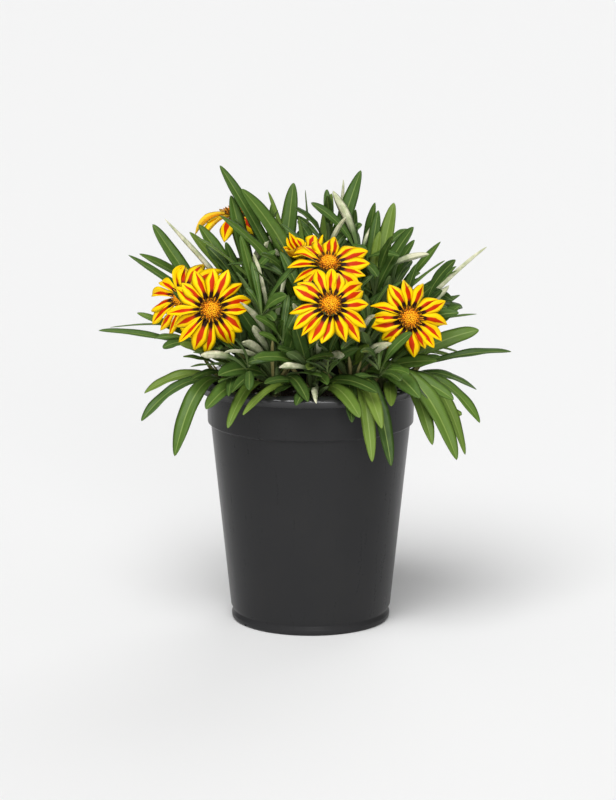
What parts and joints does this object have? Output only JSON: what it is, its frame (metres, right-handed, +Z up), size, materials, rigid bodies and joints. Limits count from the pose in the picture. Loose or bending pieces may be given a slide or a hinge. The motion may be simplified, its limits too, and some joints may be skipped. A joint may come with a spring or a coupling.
{
  "type": "potted gazania",
  "caption": "Flowering gazania: leafy shoots with striped yellow daisy heads, rooted in soil in a tapered black nursery pot that stands on its base",
  "frame": {"origin": "centre of the pot's underside, on the surface it stands on", "axes": "+Z is up along the pot's axis; -Y is the side the picture was taken from; +X is to the right in the picture"},
  "size_m": [0.31, 0.2274, 0.345],
  "materials": {
    "black_plastic": "smooth semi-gloss moulded black plastic",
    "potting_soil": "crumbly dark peat and bark mix, matt",
    "leaf": "green and slightly shiny above with a pale midrib, cream white felt beneath",
    "ray_petal": "satin yellow with a red-orange stripe and a near-black foot",
    "disc_floret": "fine orange-brown florets, matt"
  },
  "bodies": {
    "root": {"nursery_pot": "black_plastic", "potting_soil": "potting_soil", "shoot_01": "leaf", "shoot_02": "leaf", "shoot_03": "leaf", "shoot_04": "leaf", "shoot_05": "leaf", "shoot_06": "leaf", "shoot_07": "leaf", "shoot_08": "leaf", "shoot_09": "leaf", "shoot_10": "leaf", "shoot_11": "leaf", "petals_01": "ray_petal", "petals_02": "ray_petal", "petals_03": "ray_petal", "petals_04": "ray_petal", "petals_05": "ray_petal", "petals_06": "ray_petal", "petals_07": "ray_petal", "disc_01": "disc_floret", "disc_02": "disc_floret", "disc_03": "disc_floret", "disc_04": "disc_floret", "disc_05": "disc_floret", "disc_06": "disc_floret", "disc_07": "disc_floret"}
  },
  "joints": []
}
